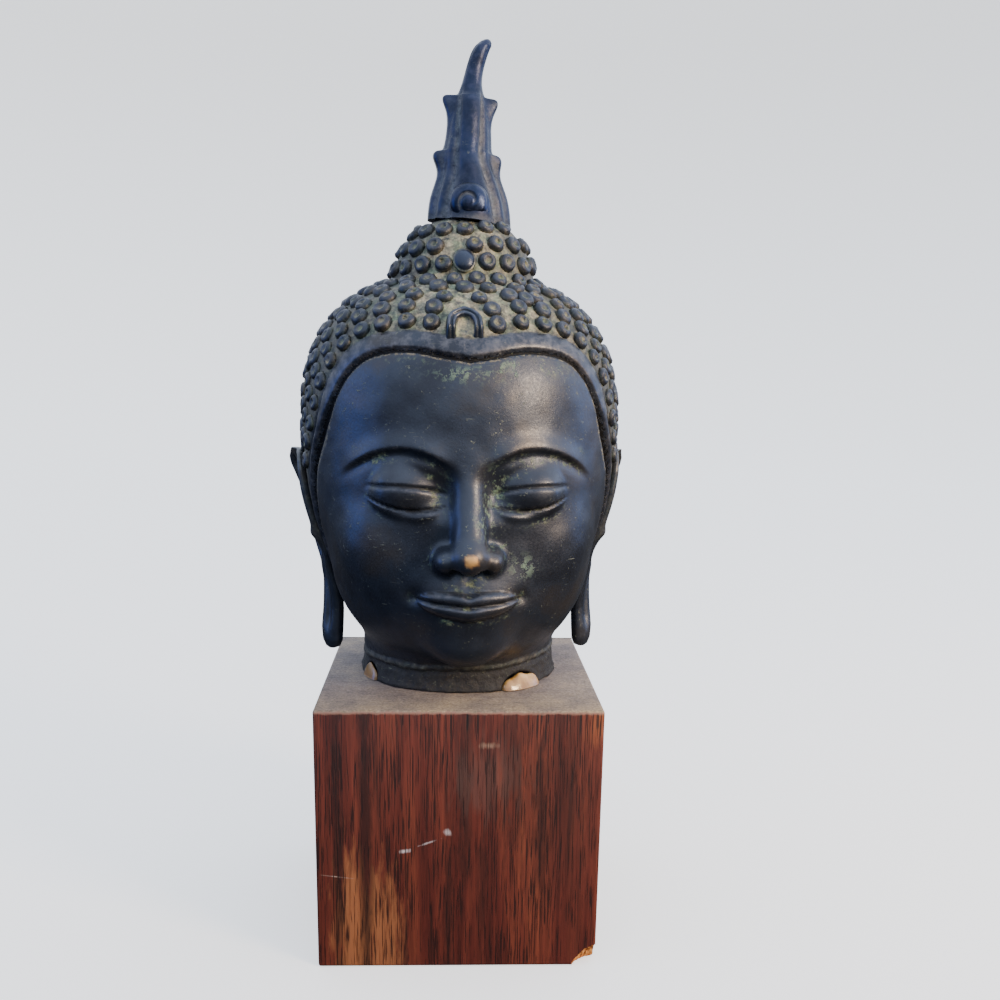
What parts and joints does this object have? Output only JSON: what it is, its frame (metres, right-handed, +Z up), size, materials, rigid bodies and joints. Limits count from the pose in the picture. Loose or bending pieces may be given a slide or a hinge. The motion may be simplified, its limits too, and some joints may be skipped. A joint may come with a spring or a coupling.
{
  "type": "buddha head on wooden block",
  "caption": "Bronze buddha head with snail-curl hair, long ears and a tall flame finial, glued by its neck to a plain square wooden block.",
  "frame": {"origin": "centre of the wooden block's underside, on the surface it stands on", "axes": "+Z up through the block, neck and flame finial; the face looks along -Y; +X is to the right of someone facing the object"},
  "size_m": [0.1303, 0.1309, 0.3234],
  "materials": {
    "bronze": "near-black patina on cast bronze, pale green-grey dirt between the curls",
    "finial_bronze": "near-black patina on cast bronze, rubbed brown on its ridges",
    "block_wood": "worn oiled red-brown hardwood with dark pores",
    "glue": "cured amber resin glue, glossy"
  },
  "bodies": {
    "root": {"head": "bronze", "flame_finial": "finial_bronze", "wood_block": "block_wood", "glue_bead_left": "glue", "glue_bead_right": "glue"}
  },
  "joints": []
}
